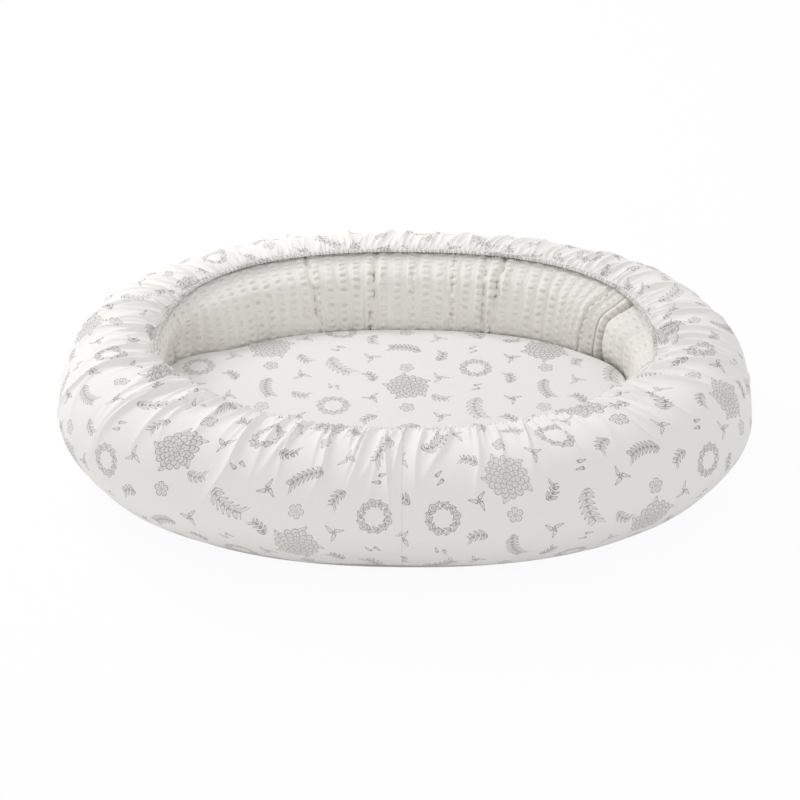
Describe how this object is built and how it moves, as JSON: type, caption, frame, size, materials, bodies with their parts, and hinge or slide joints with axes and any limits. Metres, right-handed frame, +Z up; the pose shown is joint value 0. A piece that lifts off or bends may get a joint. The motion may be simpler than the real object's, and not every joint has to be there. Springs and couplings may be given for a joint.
{
  "type": "infant lounger",
  "caption": "Oval baby nest: a gathered fabric cover with an elastic rim over a stuffed roll, round a crowned mattress pad whose cover has a zip underneath.",
  "frame": {"origin": "middle of the footprint, on the floor", "axes": "+X along the nest, towards the end where the roll's ends meet; +Y towards the back; +Z up"},
  "size_m": [0.8957, 0.6541, 0.1876],
  "materials": {
    "printed_cotton": "matt woven cotton, white with a fine grey line print",
    "plain_cotton": "matt woven cotton, undyed white",
    "rim_hem": "matt woven cotton, folded and stitched hem",
    "elastic": "woven elastic",
    "crinkle_cotton": "matt crinkled cotton, warm white",
    "fibre_filling": "polyester fibre",
    "foam": "open cell foam",
    "zip_tape": "woven polyester tape",
    "zip_coil": "nylon",
    "zip_metal": "die-cast, white lacquer"
  },
  "bodies": {
    "nest": {"cover_right_panel": "printed_cotton", "cover_left_panel": "printed_cotton", "cover_base": "plain_cotton", "rim_casing": "rim_hem", "rim_elastic": "elastic", "roll_filling": "fibre_filling", "roll_cover": "crinkle_cotton", "roll_end_front": "crinkle_cotton", "roll_end_back": "crinkle_cotton", "pad_foam": "foam", "pad_cover_top": "printed_cotton", "pad_cover_base": "plain_cotton", "zip_tape_front": "zip_tape", "zip_tape_back": "zip_tape", "zip_coil_front": "zip_coil", "zip_coil_back": "zip_coil", "zip_stop_right": "zip_metal", "zip_stop_left": "zip_metal"},
    "zip_slider": {"zip_slider": "zip_metal"}
  },
  "joints": [
    {"name": "zip_slide", "type": "slide", "parent": "nest", "child": "zip_slider", "axis": [-1, 0, 0], "range_m": [0, 0.2824]}
  ]
}
